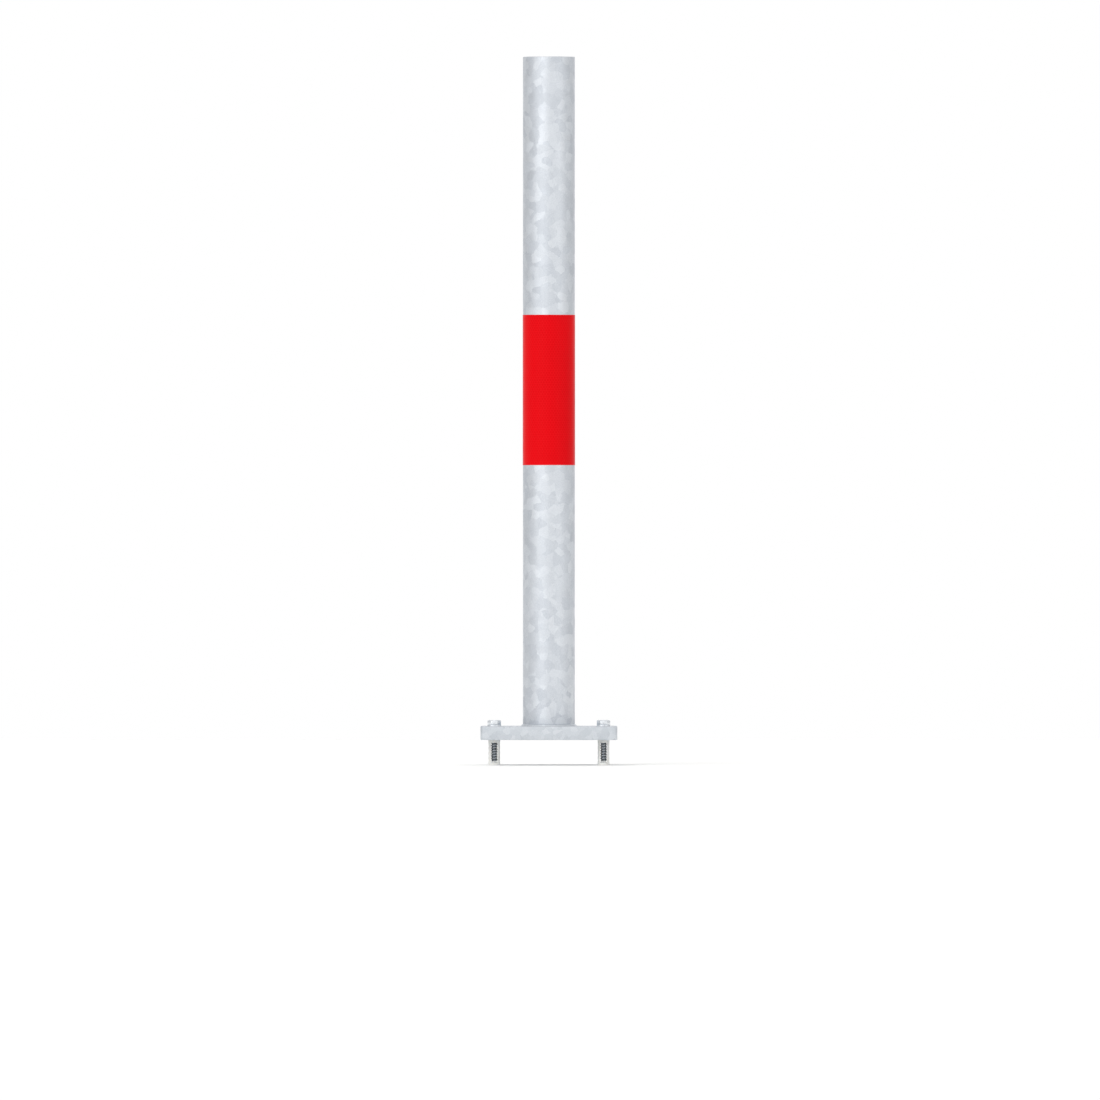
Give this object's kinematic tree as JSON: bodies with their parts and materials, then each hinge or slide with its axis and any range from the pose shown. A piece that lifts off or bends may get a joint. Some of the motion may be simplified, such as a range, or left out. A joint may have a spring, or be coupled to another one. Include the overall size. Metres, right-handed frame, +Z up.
{
  "type": "barrier post",
  "caption": "Round galvanised barrier post on a square base plate, with a red reflective band, hexagon-head screws and expansion plugs for fixing it to paving.",
  "frame": {"origin": "on the post's axis at ground level, which is the underside of the base plate; the plugs hang below it", "axes": "+Z up along the post, +X to the right and -Y towards the viewer, both along the sides of the base plate"},
  "size_m": [0.2, 0.2, 1.037],
  "materials": {
    "galvanised_steel": "satin",
    "galvanised_weld": "satin",
    "red_reflective_film": "gloss",
    "zinc_plated_screw": "satin",
    "zinc_plated_washer": "satin",
    "white_nylon": "matte"
  },
  "bodies": {
    "root": {"post_tube": "galvanised_steel", "top_lid": "galvanised_steel", "lid_weld": "galvanised_weld", "reflective_band": "red_reflective_film", "base_plate": "galvanised_steel", "foot_weld": "galvanised_weld", "screw_front_left": "zinc_plated_screw", "screw_front_right": "zinc_plated_screw", "screw_back_left": "zinc_plated_screw", "screw_back_right": "zinc_plated_screw", "washer_front_left": "zinc_plated_washer", "washer_front_right": "zinc_plated_washer", "washer_back_left": "zinc_plated_washer", "washer_back_right": "zinc_plated_washer", "plug_front_left": "white_nylon", "plug_front_right": "white_nylon", "plug_back_left": "white_nylon", "plug_back_right": "white_nylon"}
  },
  "joints": []
}
